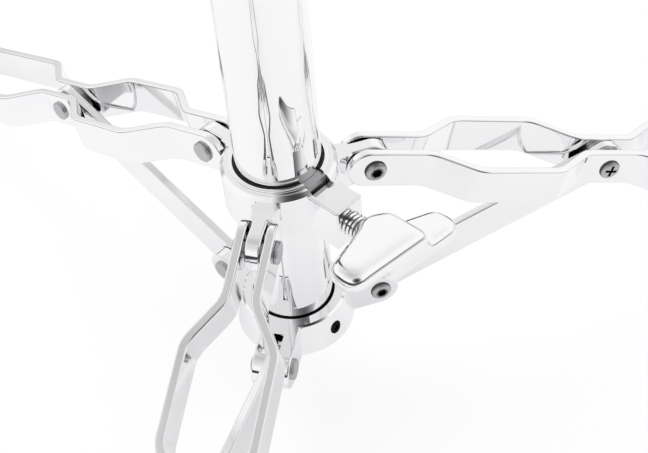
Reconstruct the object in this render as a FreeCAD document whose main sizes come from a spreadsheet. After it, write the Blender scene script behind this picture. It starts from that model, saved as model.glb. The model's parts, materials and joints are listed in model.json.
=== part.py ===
import FreeCAD, Part
import math
import os
import re

import Sketcher
from FreeCAD import Placement, Rotation, Vector

# Snare drum stand: folding tripod, height clamp, tilter and three-armed basket.
# Millimetres, +Z up. The origin is on the floor, on the axis of the base tube.
# Leg a points to -Y, leg b to 30 degrees and leg c to 150 degrees.

SIZES = {
    # base tube and the two hub castings
    "tube_outer": 28.6,
    "tube_wall": 1.5,
    "tube_spare": 64,
    "hub_height": 14,
    "hub_wall": 7.2,
    "hub_edge": 1.2,
    "hub_taper": 2.6,
    "bore_edge": 0.7,
    "pivot_standoff": 16.8,
    "pivot_spacing": 61,
    "lug_width": 13.6,
    "tongue_width": 5,
    "tongue_gap": 0.8,
    "tongue_flare": 2.4,
    "joint_gap": 0.25,
    "slide_fit": 0.08,
    "press_fit": 0.02,
    "seat_fit": 0.06,
    "slot_inset": 0.6,
    "set_screw_diameter": 5,
    "set_screw_sink": 3.2,
    "plug_height": 9,
    "plug_cap": 2.4,
    "plug_edge": 0.6,
    # collar
    "collar_wall": 4.3,
    "collar_bush_wall": 0.6,
    "collar_rise": 2,
    "collar_boss": 2.8,
    "collar_step": 0.4,
    "lip_wall": 1.8,
    "bush_sink": 0.3,
    "bush_edge": 0.4,
    "clamp_lug_width": 11.8,
    "clamp_lug_reach": 16.8,
    "shoe_thick": 2.8,
    "shoe_width": 8.2,
    "shoe_clear": 0.2,
    "shoe_rise": 1.8,
    "ledge_reach": 3.2,
    "ledge_sink": 1.4,
    "seat_floor": 2,
    "seat_gap": 0.9,
    # leg strips
    "brace_length": 94.2,
    "leg_tail": 97.6,
    "strip_height": 14,
    "strip_thick": 3,
    "strip_edge": 0.65,
    "bow_start": 20.4,
    "bend_run": 15.2,
    "bend_radius": 11,
    "elbow_flat": 12.3,
    "bow_clearance": 4.5,
    "bow_past_lug": 20,
    "tail_run": 24,
    "foot_gap": 0.2,
    "strip_setback": 2,
    "strip_nose": 2.5,
    # braces
    "brace_height": 15,
    "brace_thick": 3.2,
    "washer_thick": 1.15,
    "washer_diameter": 12,
    # pivot barrels and screws
    "pin_diameter": 6,
    "running_fit": 0.05,
    "head_diameter": 7.6,
    "head_height": 1.4,
    "head_edge": 0.3,
    "screw_diameter": 4,
    "screw_length": 8,
    "socket_across": 3.2,
    "socket_depth": 1.1,
    "cross_width": 1.1,
    # rubber feet
    "foot_radius": 11.5,
    "foot_drop": 10,
    "foot_sleeve": 34,
    "foot_neck": 9.6,
    "foot_edge": 1,
    # wings
    "wing_span": 54,
    "wing_near": 0.4,
    "wing_far": 20.5,
    "wing_sweep": 8,
    "wing_core": 18,
    "wing_rise": 7.2,
    "wing_lap": 0.3,
    "wing_tip": 5,
    "wing_boss": 13.4,
    "wing_round": 3.6,
    "wing_turn": 10,
    "stud_diameter": 8,
    "stud_show": 5,
    "stud_hold": 10,
    # height clamp
    "mast_outer": 22.2,
    "mast_wall": 1.2,
    "mast_length": 262,
    "mast_show": 106,
    "clamp_grip": 22,
    "clamp_height": 26,
    "clamp_wall": 4.6,
    "clamp_split": 3,
    "ear_thick": 6.4,
    "ear_reach": 20,
    "ear_height": 19,
    "ear_lift": 1,
    "bush_spigot": 14,
    "bush_flange": 2,
    # height lock
    "lock_height": 15,
    "lock_wall": 5,
    "lock_boss": 7,
    "lock_boss_width": 11,
    "lock_above": 30,
    "key_diameter": 6,
    "key_square": 5.4,
    "key_head": 7,
    "key_collar": 1.6,
    # tilter
    "neck_wall": 3.6,
    "neck_hold": 25,
    "neck_floor": 5,
    "neck_bevel": 3,
    "knuckle_radius": 12,
    "knuckle_width": 14,
    "knuckle_lift": 19,
    "fork_cheek": 6,
    "fork_crown": 11,
    "fork_clear": 1.5,
    "tilt_washer": 1.2,
    "bolt_diameter": 8,
    "bolt_head": 4.6,
    "bolt_head_across": 13,
    "bolt_spare": 2,
    # basket
    "post_diameter": 12,
    "post_sink": 8,
    "post_length": 78,
    "nut_rest": 9.5,
    "nut_diameter": 44,
    "nut_height": 13.5,
    "nut_shoulder": 4,
    "nut_edge": 1.5,
    "flute_diameter": 9,
    "nut_neck_wall": 3.4,
    "ring_height": 10,
    "ring_wall": 7.6,
    "ring_edge": 0.6,
    "groove_height": 5.4,
    "groove_depth": 5.2,
    "clip_height": 1.4,
    "clip_wall": 2.2,
    "hub_plate": 8,
    "hub_lift": 13,
    "hub_rim": 8,
    "lug_clear": 1.5,
    "arm_offset": 12.9,
    "arm_cheek": 4,
    "arm_pin_diameter": 5,
    "arm_thick": 5,
    "arm_depth": 12,
    "arm_rise": 0.35,
    "toe_height": 3.6,
    "toe_clear": 1.1,
    "post_nut_across": 19,
    "post_nut_height": 8,
    "drum_hoop_radius": 189,
    "hook_depth": 9,
    "hook_height": 42,
    "grip_wall": 3.2,
    "grip_width": 18,
    "grip_ledge": 11,
    "grip_ledge_thick": 6,
    "grip_mouth": 22,
    "grip_lip": 5,
    "grip_slope": 3,
    "grip_edge": 1.2,
}

# Sizes that follow from the ones above.
WORKED_OUT = {
    "tube_radius": "tube_outer / 2",
    "pivot_radius": "tube_radius + pivot_standoff",
    "hub_half": "tongue_width / 2 + tongue_gap",
    "elbow_half": "brace_thick / 2 + washer_thick + joint_gap / 2",
    "bow_half": "lug_width / 2 + head_height + bow_clearance",
    "hub_shift": "strip_thick * tan(atan((bow_half - hub_half) / bend_run) / 2)",
    "elbow_shift": "strip_thick * tan(atan((bow_half - elbow_half) / bend_run) / 2)",
    "foot_shift": "strip_thick * tan(atan((bow_half - foot_gap / 2) / tail_run) / 2)",
    "bow_in": "brace_length - elbow_flat - bend_run",
    "bow_out": "brace_length + elbow_flat + bend_run",
    "tail_start": "2 * brace_length + bow_past_lug",
    "leg_length": "2 * brace_length + leg_tail",
    "strip_end": "leg_length - strip_setback",
    "fold_sine": "pivot_spacing / 2 / brace_length",
    "fold_cosine": "sqrt(1 - fold_sine * fold_sine)",
    "collar_level": "leg_length * fold_sine + foot_drop",
    "base_level": "collar_level - pivot_spacing",
    "tube_length": "2 * brace_length + tube_spare",
    "tube_top": "base_level - hub_height / 2 + tube_length",
    "hub_radius": "tube_radius + hub_wall",
    "slot_start": "hub_radius + slot_inset",
    "slot_width": "brace_thick + 2 * joint_gap",
    "bush_radius": "tube_radius + slide_fit + collar_bush_wall",
    "collar_radius": "bush_radius + press_fit + collar_wall",
    "clamp_reach": "tube_radius + clamp_lug_reach",
    "collar_top": "hub_height / 2 + collar_rise",
    "shoe_back": "tube_radius + 2 * slide_fit + shoe_thick",
    "pocket_back": "shoe_back + seat_gap",
    "leg_pivot_width": "2 * (hub_half + strip_thick) + joint_gap",
    "elbow_width": "2 * (elbow_half + strip_thick)",
    "wing_sink": "wing_far * 0.75",
    "mast_radius": "mast_outer / 2",
    "height_bore": "mast_radius + slide_fit",
    "tube_bore": "tube_radius - tube_wall",
    "clamp_radius": "tube_radius + clamp_wall",
    "ear_centre": "clamp_radius + ear_reach * 0.45",
    "ear_level": "clamp_height / 2 + ear_lift",
    "clamp_top": "tube_top + clamp_height + bush_flange",
    "lock_level": "clamp_top + lock_above",
    "mast_top": "tube_top + mast_show",
    "tilt_level": "mast_top + neck_floor + knuckle_lift",
    "fork_gap": "knuckle_width + 2 * tilt_washer + joint_gap",
    "fork_width": "fork_gap + 2 * fork_cheek",
    "crown_low": "knuckle_radius + fork_clear",
    "crown_high": "crown_low + fork_crown",
    "post_radius": "post_diameter / 2",
    "nut_low": "crown_high + nut_rest",
    "neck_radius": "post_radius + running_fit + nut_neck_wall",
    "ring_low": "nut_low + nut_height + joint_gap",
    "ring_high": "ring_low + ring_height",
    "ring_radius": "neck_radius + running_fit + ring_wall",
    "groove_level": "ring_low + ring_height / 2",
    "arm_pivot_radius": "ring_radius + arm_offset",
    "toe_end": "ring_radius - groove_depth + toe_clear",
    "neck_high": "ring_high + joint_gap",
    "hub_low": "groove_level + hub_lift",
    "hub_high": "hub_low + hub_plate",
    "arm_slot": "arm_thick + 2 * joint_gap",
    "arm_lug_width": "arm_slot + 2 * arm_cheek",
    "hook_in": "drum_hoop_radius + grip_wall",
    "hook_out": "hook_in + hook_depth",
    "arm_drop": "arm_depth / 2 * sqrt(1 + arm_rise * arm_rise)",
    "knee_level": "arm_drop + arm_rise * (hook_in - arm_pivot_radius)",
    "hook_top": "knee_level + hook_height",
    "ledge_level": "knee_level + arm_depth / 2 + joint_gap + grip_ledge_thick",
}

# Directions in degrees, counted from +X.
FIRST_LEG = 150
FIRST_ARM = 90
LEGS = {"c": FIRST_LEG, "a": FIRST_LEG + 120, "b": FIRST_LEG + 240}
ARMS = {"a": FIRST_ARM, "b": FIRST_ARM + 120, "c": FIRST_ARM + 240}
CLAMP_SIDE = FIRST_LEG + 180

doc = FreeCAD.newDocument("snare_stand")
sheet = doc.addObject("Spreadsheet::Sheet", "Sizes")
for row, (alias, value) in enumerate(SIZES.items(), start=1):
    sheet.set(f"A{row}", alias)
    sheet.set(f"B{row}", str(value))
    sheet.setAlias(f"B{row}", alias)
doc.recompute()
nodes = {}


def bound(text):
    """The expression with each size written as its sheet cell."""
    def cell(match):
        word = match.group(0)
        if word in WORKED_OUT:
            return "(" + bound(WORKED_OUT[word]) + ")"
        return "Sizes." + word if word in SIZES else word
    return re.sub(r"[a-z_]+", cell, str(text))


def number(text):
    """The value of an expression of sizes."""
    result = sheet.evalExpression(bound(text))
    return float(getattr(result, "Value", result))


def tie(thing, path, text):
    """Binds one property to an expression of sizes."""
    thing.setExpression(path, bound(text))


# Sketch helpers

def sketch_on(body, role, lift="0"):
    """A sketch on one of the body's own origin planes, raised along its normal."""
    drawing = body.newObject("Sketcher::SketchObject", "outline")
    plane = next(item for item in body.Origin.OriginFeatures if item.Role == role)
    drawing.AttachmentSupport = [(plane, "")]
    drawing.MapMode = "FlatFace"
    tie(drawing, "AttachmentOffset.Base.z", lift)
    return drawing


def pin_down(drawing, kind, element, point, text):
    """Holds a point of the sketch at a distance from its origin."""
    index = drawing.addConstraint(Sketcher.Constraint(kind, -1, 1, element, point, number(text)))
    tie(drawing, f"Constraints[{index}]", text)


def pin_point(drawing, element, point, spot):
    pin_down(drawing, "DistanceX", element, point, spot[0])
    pin_down(drawing, "DistanceY", element, point, spot[1])


def spot_vector(spot):
    return Vector(number(spot[0]), number(spot[1]), 0)


def add_polygon(drawing, corners):
    """A closed outline of straight lines through the corners."""
    first = drawing.GeometryCount
    count = len(corners)
    spots = [spot_vector(corner) for corner in corners]
    for i in range(count):
        drawing.addGeometry(Part.LineSegment(spots[i], spots[(i + 1) % count]), False)
    for i in range(count):
        drawing.addConstraint(Sketcher.Constraint("Coincident", first + i, 2, first + (i + 1) % count, 1))
    for i in range(count):
        pin_point(drawing, first + i, 1, corners[i])
    return drawing


def add_box(drawing, low, high):
    return add_polygon(drawing, [low, (high[0], low[1]), high, (low[0], high[1])])


def add_circle(drawing, centre, diameter):
    element = drawing.GeometryCount
    drawing.addGeometry(Part.Circle(spot_vector(centre), Vector(0, 0, 1), number(diameter) / 2), False)
    index = drawing.addConstraint(Sketcher.Constraint("Diameter", element, number(diameter)))
    tie(drawing, f"Constraints[{index}]", diameter)
    pin_point(drawing, element, 3, centre)
    return drawing


def add_tab(drawing, root, tip, half, upright=False):
    """A straight tab from root to tip with a round end about the tip."""
    def spot(along, across):
        return (across, along) if upright else (along, across)

    corners = [spot(tip, half), spot(root, half), spot(root, f"-({half})"), spot(tip, f"-({half})")]
    spots = [spot_vector(corner) for corner in corners]
    first = drawing.GeometryCount
    for i in range(3):
        drawing.addGeometry(Part.LineSegment(spots[i], spots[i + 1]), False)
    centre = spot_vector(spot(tip, "0"))
    outward = math.copysign(1, number(tip) - number(root))
    beyond = spot_vector(spot(f"({tip}) + ({half}) * {outward}", "0"))
    drawing.addGeometry(Part.Arc(spots[3], beyond, spots[0]), False)
    turned_back = (drawing.getPoint(first + 3, 1) - spots[3]).Length > 1e-6
    for i in range(2):
        drawing.addConstraint(Sketcher.Constraint("Coincident", first + i, 2, first + i + 1, 1))
    ends = (2, 1) if turned_back else (1, 2)
    drawing.addConstraint(Sketcher.Constraint("Coincident", first + 2, 2, first + 3, ends[0]))
    drawing.addConstraint(Sketcher.Constraint("Coincident", first + 3, ends[1], first, 1))
    for i in range(3):
        pin_point(drawing, first + i, 1, corners[i])
    pin_point(drawing, first + 2, 2, corners[3])
    pin_down(drawing, "DistanceY" if upright else "DistanceX", first + 3, 3, tip)
    return drawing


# Feature helpers

def new_body(label):
    body = doc.addObject("PartDesign::Body", label)
    body.Label = label
    return body


def pad(body, drawing, length, side="Symmetric"):
    feature = body.newObject("PartDesign::Pad", "pad")
    feature.Profile = drawing
    feature.SideType = side
    tie(feature, "Length", length)
    return feature


def pocket(body, drawing, length=None, side="Symmetric", backwards=False):
    """Cuts the sketch out of the body, right through where no length is given."""
    feature = body.newObject("PartDesign::Pocket", "pocket")
    feature.Profile = drawing
    feature.SideType = side
    feature.Reversed = backwards
    if length is None:
        feature.Type = "ThroughAll"
    else:
        tie(feature, "Length", length)
    return feature


def turn(body, drawing, axis="Z_Axis"):
    feature = body.newObject("PartDesign::Revolution", "turned")
    feature.Profile = drawing
    feature.ReferenceAxis = (next(i for i in body.Origin.OriginFeatures if i.Role == axis), [""])
    feature.Angle = 360
    return feature


def three_times(body, features):
    """Repeats the features at thirds of a turn about the body's Z axis."""
    pattern = body.newObject("PartDesign::PolarPattern", "thirds")
    pattern.Originals = features
    pattern.Axis = (next(i for i in body.Origin.OriginFeatures if i.Role == "Z_Axis"), [""])
    pattern.Angle = 360
    pattern.Occurrences = 3
    body.Tip = pattern
    return pattern


def soften(body, radius, wanted):
    """Rounds the edges of the body that the test picks."""
    doc.recompute()
    before = body.Tip
    names = [f"Edge{i + 1}" for i, edge in enumerate(before.Shape.Edges) if wanted(edge)]
    fillet = body.newObject("PartDesign::Fillet", "rounded")
    fillet.Base = (before, names)
    tie(fillet, "Radius", radius)
    body.Tip = fillet
    return fillet


def turned(label, corners):
    """A piece turned about Z from its half outline in X and Z."""
    body = new_body(label)
    turn(body, add_polygon(sketch_on(body, "XZ_Plane"), corners))
    return body


def plate(label, role, corners, thickness):
    """A flat piece of even thickness from its outline on an origin plane."""
    body = new_body(label)
    pad(body, add_polygon(sketch_on(body, role), corners), thickness)
    return body


def keep(piece, label, place=None):
    """Names a finished piece and puts it in its place in the stand."""
    piece.Label = label
    if place is not None:
        piece.Placement = place
    nodes[label] = piece
    return piece


def group(label, members):
    """One node of several like pieces."""
    bundle = doc.addObject("Part::Compound", label)
    bundle.Links = members
    return keep(bundle, label)


def about_z(angle):
    return Rotation(Vector(0, 0, 1), angle)


def at_height(level, angle=0):
    return Placement(Vector(0, 0, number(level)), about_z(angle))


def straight(edge):
    return isinstance(edge.Curve, Part.Line)


def along(edge, axis):
    """True where a straight edge runs along the axis."""
    return straight(edge) and edge.tangentAt(edge.FirstParameter).cross(axis).Length < 1e-4


def middle(edge):
    return edge.valueAt((edge.FirstParameter + edge.LastParameter) / 2)


def off_axis(edge):
    """Distance of an edge's middle from the Z axis."""
    return math.hypot(middle(edge).x, middle(edge).y)


X = Vector(1, 0, 0)
Y = Vector(0, 1, 0)
Z = Vector(0, 0, 1)
fold = math.degrees(math.asin(number("fold_sine")))


# Base tube and its plug

def base_tube():
    body = turned("base_tube", [
        ("tube_bore", "0"), ("tube_radius", "0"), ("tube_radius", "tube_length"),
        ("tube_bore", "tube_length")])
    keep(body, "base_tube", at_height("base_level - hub_height / 2"))


def tube_plug():
    body = turned("tube_plug", [
        ("0", "-plug_cap"), ("tube_radius - plug_edge", "-plug_cap"),
        ("tube_radius", "plug_edge - plug_cap"),
        ("tube_radius", "0"), ("tube_bore - seat_fit", "0"),
        ("tube_bore - seat_fit", "plug_height - plug_edge"),
        ("tube_bore - seat_fit - plug_edge", "plug_height"), ("0", "plug_height")])
    keep(body, "tube_plug", at_height("base_level - hub_height / 2"))


# Hub castings

def ring_corners(bore, radius, low, high, edge):
    """Half outline of a ring with bevelled outer edges."""
    return [(bore, low), (f"{radius} - {edge}", low), (radius, f"{low} + {edge}"),
            (radius, f"{high} - {edge}"), (f"{radius} - {edge}", high), (bore, high)]


def lower_casting():
    """Ring fixed to the foot of the tube, with three slotted lugs for the braces."""
    body = new_body("lower_casting")
    bore = "tube_radius + press_fit"
    turn(body, add_polygon(sketch_on(body, "XZ_Plane"), [
        (bore, "-hub_height / 2"), ("hub_radius - hub_edge", "-hub_height / 2"),
        ("hub_radius", "-hub_height / 2 + hub_edge"),
        ("hub_radius - hub_taper", "hub_height / 2 - bore_edge"),
        ("hub_radius - hub_taper - bore_edge", "hub_height / 2"),
        (f"{bore} + bore_edge", "hub_height / 2"), (bore, "hub_height / 2 - bore_edge")]))
    lug = pad(body, add_tab(
        sketch_on(body, "XZ_Plane"), "tube_radius + hub_wall / 2", "pivot_radius", "hub_height / 2"),
        "lug_width")
    three_times(body, [lug])
    limit = number("hub_radius + hub_edge")
    soften(body, "hub_edge * 0.6", lambda edge: off_axis(edge) > limit and not along(edge, Z))
    slot = pocket(body, add_box(
        sketch_on(body, "XZ_Plane"), ("slot_start", "-hub_height"), ("2 * pivot_radius", "hub_height")),
        "slot_width")
    hole = pocket(body, add_circle(sketch_on(body, "XZ_Plane"), ("pivot_radius", "0"), "pin_diameter"))
    three_times(body, [slot, hole])
    pocket(body, add_circle(sketch_on(body, "YZ_Plane"), ("0", "0"), "set_screw_diameter"),
        side="One side")
    keep(body, "lower_casting", at_height("base_level", FIRST_LEG))


def casting_set_screw():
    """Socket set screw sunk in the wall of the lower casting."""
    body = new_body("casting_set_screw")
    length = "hub_wall - press_fit - set_screw_sink"
    pad(body, add_circle(sketch_on(body, "XY_Plane"), ("0", "0"), "set_screw_diameter"), length,
        "One side")
    hexagon(body, length, "set_screw_diameter * 0.5", f"({length}) * 0.6")
    turned_out = Rotation(Y, 90)
    spin = about_z(CLAMP_SIDE)
    reach = number("tube_radius + press_fit")
    keep(body, "casting_set_screw", Placement(
        spin.multVec(Vector(reach, 0, number("base_level"))), spin * turned_out))


def hexagon(body, level, across, depth):
    """Sinks a hexagon socket into the body from a level on its Z axis."""
    corner = f"({across}) / 2 / cos(30)"
    corners = [(f"{corner} * cos({turn_by})", f"{corner} * sin({turn_by})")
               for turn_by in range(0, 360, 60)]
    return pocket(body, add_polygon(sketch_on(body, "XY_Plane", level), corners), depth, "One side")


def leg_collar():
    """Collar that slides on the tube, with three leg tongues and a clamp lug."""
    body = new_body("leg_collar")
    bore = "bush_radius + press_fit"
    turn(body, add_polygon(sketch_on(body, "XZ_Plane"), [
        (bore, "-hub_height / 2"), ("collar_radius - hub_edge", "-hub_height / 2"),
        ("collar_radius", "-hub_height / 2 + hub_edge"), ("collar_radius", "collar_top + collar_step"),
        ("collar_radius - hub_edge", "collar_top + collar_step + hub_edge"),
        (f"{bore} + lip_wall", "collar_top + collar_step + hub_edge"),
        (f"{bore} + lip_wall", "collar_top + collar_boss"), (bore, "collar_top + collar_boss")]))
    lip = number("collar_top + collar_boss")
    soften(body, "lip_wall * 0.45", lambda edge: middle(edge).z > lip - 1e-3)
    # Each tongue widens to the ring at its root, cut back clear of the turning noses of the strips.
    root = "bush_radius + collar_wall / 2"
    curve = [(f"collar_radius + {along_leg} * tongue_flare",
              f"tongue_width / 2 + {across} * tongue_flare")
             for along_leg, across in ((-0.5, 1), (0.4, 0.6), (1.4, 0.36), (2.8, 0.3))]
    mirrored = [(x, f"-({y})") for x, y in curve]
    flare = pad(body, add_polygon(sketch_on(body, "XY_Plane"), curve[::-1] + mirrored), "hub_height")
    relief = pocket(body, add_circle(
        sketch_on(body, "XZ_Plane"), ("pivot_radius", "0"), "strip_height + 2 * (strip_nose + joint_gap)"))
    tongue = pad(body, add_tab(
        sketch_on(body, "XZ_Plane"), root, "pivot_radius", "hub_height / 2"), "tongue_width")
    three_times(body, [flare, relief, tongue])
    lug = sketch_on(body, "XY_Plane", "-hub_height / 2")
    add_box(lug, ("-clamp_reach", "-clamp_lug_width / 2"),
        ("-bush_radius - collar_wall / 3", "clamp_lug_width / 2"))
    pad(body, lug, "collar_top + hub_height / 2", "One side")
    seat = sketch_on(body, "XY_Plane", "collar_top + 2 * collar_boss")
    half = "shoe_width / 2 + shoe_clear"
    add_box(seat, ("-pocket_back", f"-({half})"), ("-tube_radius", half))
    pocket(body, seat, "collar_top + 2 * collar_boss + hub_height / 2 - seat_floor", "One side")
    limit = number("(collar_radius + clamp_reach) / 2")
    soften(body, "hub_edge * 0.6", lambda edge: off_axis(edge) > limit)
    ledge = sketch_on(body, "XY_Plane", "collar_top + 2 * collar_boss")
    add_box(ledge, ("-pocket_back - ledge_reach", f"-({half})"), ("-pocket_back + ledge_sink", half))
    pocket(body, ledge, "2 * collar_boss + ledge_sink", "One side")
    hole = pocket(body, add_circle(sketch_on(body, "XZ_Plane"), ("pivot_radius", "0"), "pin_diameter"))
    three_times(body, [hole])
    pocket(body, add_circle(
        sketch_on(body, "YZ_Plane"), ("0", "collar_rise / 2"), "stud_diameter + 2 * press_fit"),
        side="One side")
    keep(body, "leg_collar", at_height("collar_level", FIRST_LEG))


def collar_bush():
    """Nylon bush inside the collar, open behind the clamp shoe."""
    body = new_body("collar_bush")
    low = "-hub_height / 2 + bush_edge"
    high = "collar_top + collar_boss - bush_sink"
    turn(body, add_polygon(sketch_on(body, "XZ_Plane"), [
        ("tube_radius + slide_fit", low), ("bush_radius", low), ("bush_radius", f"{high} - bush_edge"),
        ("bush_radius - bush_edge", high), ("tube_radius + slide_fit", high)]))
    gap = sketch_on(body, "YZ_Plane")
    half = "shoe_width / 2 + shoe_clear"
    add_box(gap, (f"-({half})", "-collar_top * 2"), (half, "collar_top * 3"))
    pocket(body, gap, side="One side")
    keep(body, "collar_bush", at_height("collar_level", FIRST_LEG))


def clamp_shoe():
    """Block that the wing screw presses on the tube, hollowed to its curve."""
    body = new_body("clamp_shoe")
    block = sketch_on(body, "XY_Plane", "-hub_height / 2 + seat_floor + shoe_clear")
    add_box(block, ("-shoe_back", "-shoe_width / 2"), ("-tube_radius * 0.9", "shoe_width / 2"))
    pad(body, block, "collar_top + hub_height / 2 - seat_floor - shoe_clear + shoe_rise", "One side")
    pocket(body, add_circle(sketch_on(body, "XY_Plane"), ("0", "0"), "2 * (tube_radius + slide_fit)"))
    keep(body, "clamp_shoe", at_height("collar_level", FIRST_LEG))


# Pivot fasteners: a headed barrel and the screw that closes it

def pivot_barrel(label, width):
    head = "head_diameter / 2"
    low = f"-({width}) / 2"
    high = f"({width}) / 2"
    floor = f"{high} - screw_length - head_edge"
    bore = "screw_diameter / 2 + press_fit"
    return turned(label, [
        ("0", f"{low} - head_height * 0.8"), (f"{head} - head_edge", f"{low} - head_height * 0.8"),
        (head, f"{low} - head_height * 0.8 + head_edge"), (head, low), ("pin_diameter / 2", low),
        ("pin_diameter / 2", high), (bore, high), (bore, floor), ("0", floor)])


def pivot_screw(label, width, drive):
    head = "head_diameter / 2"
    face = f"({width}) / 2"
    body = turned(label, [
        ("0", f"{face} - screw_length"), ("screw_diameter / 2", f"{face} - screw_length"),
        ("screw_diameter / 2", face), (head, face), (head, f"{face} + head_height * 0.35"),
        (f"{head} * 0.9", f"{face} + head_height * 0.7"), (f"{head} * 0.6", f"{face} + head_height"),
        ("0", f"{face} + head_height")])
    top = f"{face} + head_height"
    if drive == "hexagon":
        hexagon(body, top, "socket_across", "socket_depth")
    else:
        arm = "socket_across * 0.75"
        half = "cross_width / 2"
        for long_way, short_way in ((arm, half), (half, arm)):
            slot = add_box(sketch_on(body, "XY_Plane", top), (f"-({long_way})", f"-({short_way})"),
                           (long_way, short_way))
            pocket(body, slot, "socket_depth * 0.7", "One side")
    return body


def pivot_place(angle, radius, level):
    """Place of a pivot whose screw head looks clockwise round the tube."""
    spin = about_z(angle)
    return Placement(spin.multVec(Vector(radius, 0, level)), spin * Rotation(X, 90))


def pivot_set(prefix, width, level):
    barrels = []
    screws = []
    for name, angle in LEGS.items():
        place = pivot_place(angle, number("pivot_radius"), number(level))
        barrel = pivot_barrel(f"{prefix}_barrel_{name}", width)
        barrel.Placement = place
        barrels.append(barrel)
        screw = pivot_screw(f"{prefix}_screw_{name}", width, "hexagon")
        screw.Placement = place
        screws.append(screw)
    group(f"{prefix}_barrels", barrels)
    group(f"{prefix}_screws", screws)


# Legs

def leg_place(angle):
    spin = about_z(angle)
    pivot = Vector(number("pivot_radius"), 0, number("collar_level"))
    return Placement(spin.multVec(pivot), spin * Rotation(Y, fold))


def strip(label, side, place):
    """One of the two bowed strips of a leg, along X from the collar pivot."""
    nose = "-strip_height / 2 - strip_nose"
    inner = [
        (nose, "hub_half"), ("bow_start", "hub_half"), ("bow_start + bend_run", "bow_half"),
        ("bow_in", "bow_half"), ("brace_length - elbow_flat", "elbow_half"),
        ("brace_length + elbow_flat", "elbow_half"), ("bow_out", "bow_half"), ("tail_start", "bow_half"),
        ("tail_start + tail_run", "foot_gap / 2"), ("strip_end", "foot_gap / 2")]
    shifts = ["0", "-hub_shift", "-hub_shift", "elbow_shift", "elbow_shift",
              "-elbow_shift", "-elbow_shift", "foot_shift", "foot_shift", "0"]
    outer = [(f"{x} + {shift}", f"{y} + strip_thick") for (x, y), shift in zip(inner, shifts)]
    corners = [(x, f"{side} * ({y})") for x, y in inner + outer[::-1]]
    body = plate(label, "XY_Plane", corners, "strip_height")
    end = number(nose)
    last = number("strip_end")
    soften(body, "bend_radius", lambda edge: along(edge, Z) and end + 1 < middle(edge).x < last - 1)
    soften(body, "strip_height * 0.49", lambda edge: along(edge, Y) and middle(edge).x < end + 1)
    holes = sketch_on(body, "XZ_Plane")
    for station in ("0", "brace_length"):
        add_circle(holes, (station, "0"), "pin_diameter + 2 * running_fit")
    pocket(body, holes)
    half = number("strip_height / 2")
    soften(body, "strip_edge", lambda edge: abs(abs(middle(edge).z) - half) < 1e-3 and not along(edge, Y))
    keep(body, label, place)


def elbow(name, place):
    """Pivot and spacing washers where the brace crosses its leg."""
    spot = place.multiply(Placement(Vector(number("brace_length"), 0, 0), Rotation(X, 90)))
    keep(pivot_barrel(f"leg_{name}_elbow_barrel", "elbow_width"), f"leg_{name}_elbow_barrel", spot)
    keep(pivot_screw(f"leg_{name}_elbow_screw", "elbow_width", "cross"), f"leg_{name}_elbow_screw", spot)
    washers = []
    for side in (-1, 1):
        face = f"{side} * (elbow_half - washer_thick / 2)"
        washer = turned(f"leg_{name}_elbow_washer", [
            ("pin_diameter / 2 + press_fit", f"{face} - washer_thick / 2"),
            ("washer_diameter / 2", f"{face} - washer_thick / 2"),
            ("washer_diameter / 2", f"{face} + washer_thick / 2"),
            ("pin_diameter / 2 + press_fit", f"{face} + washer_thick / 2")])
        washer.Placement = spot
        washers.append(washer)
    group(f"leg_{name}_elbow_washers", washers)


def foot(label, place):
    """Rubber foot pushed over the ends of both strips, cut flat where it stands."""
    body = new_body(label)
    profile = [
        ("leg_length - foot_sleeve", "0"), ("leg_length - foot_sleeve", "foot_neck - foot_edge"),
        ("leg_length - foot_sleeve + foot_edge", "foot_neck"),
        ("leg_length - foot_radius * 1.1", "foot_neck"),
        ("leg_length - foot_radius * 0.75", "foot_radius * 0.94"),
        ("leg_length - foot_radius * 0.4", "foot_radius"),
        ("leg_length + foot_radius * 0.3", "foot_radius"),
        ("leg_length + foot_radius * 0.62", "foot_radius * 0.86"),
        ("leg_length + foot_radius * 0.85", "foot_radius * 0.55"),
        ("leg_length + foot_radius * 0.9", "0")]
    turn(body, add_polygon(sketch_on(body, "XZ_Plane"), profile), "X_Axis")
    hold = sketch_on(body, "YZ_Plane", "leg_length - 2 * foot_sleeve")
    half = "foot_gap / 2 + strip_thick + press_fit"
    add_box(hold, (f"-({half})", "-strip_height / 2 - press_fit"), (half, "strip_height / 2 + press_fit"))
    pocket(body, hold, "2 * foot_sleeve - strip_setback + press_fit", "One side", backwards=True)
    # The floor line in the leg's own frame.
    tilt = "fold_sine / fold_cosine"
    drop = "collar_level / fold_cosine"
    near = "leg_length - 3 * foot_radius"
    far = "leg_length + 3 * foot_radius"
    below = "-5 * foot_radius"
    floor = sketch_on(body, "XZ_Plane")
    add_polygon(floor, [
        (near, f"({near}) * {tilt} - {drop}"), (near, below), (far, below),
        (far, f"({far}) * {tilt} - {drop}")])
    pocket(body, floor)
    keep(body, label, place)


def legs():
    for name, angle in LEGS.items():
        place = leg_place(angle)
        strip(f"leg_{name}_strip_left", 1, place)
        strip(f"leg_{name}_strip_right", -1, place)
        elbow(name, place)
        foot(f"leg_{name}_foot", place)


# Braces

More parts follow.
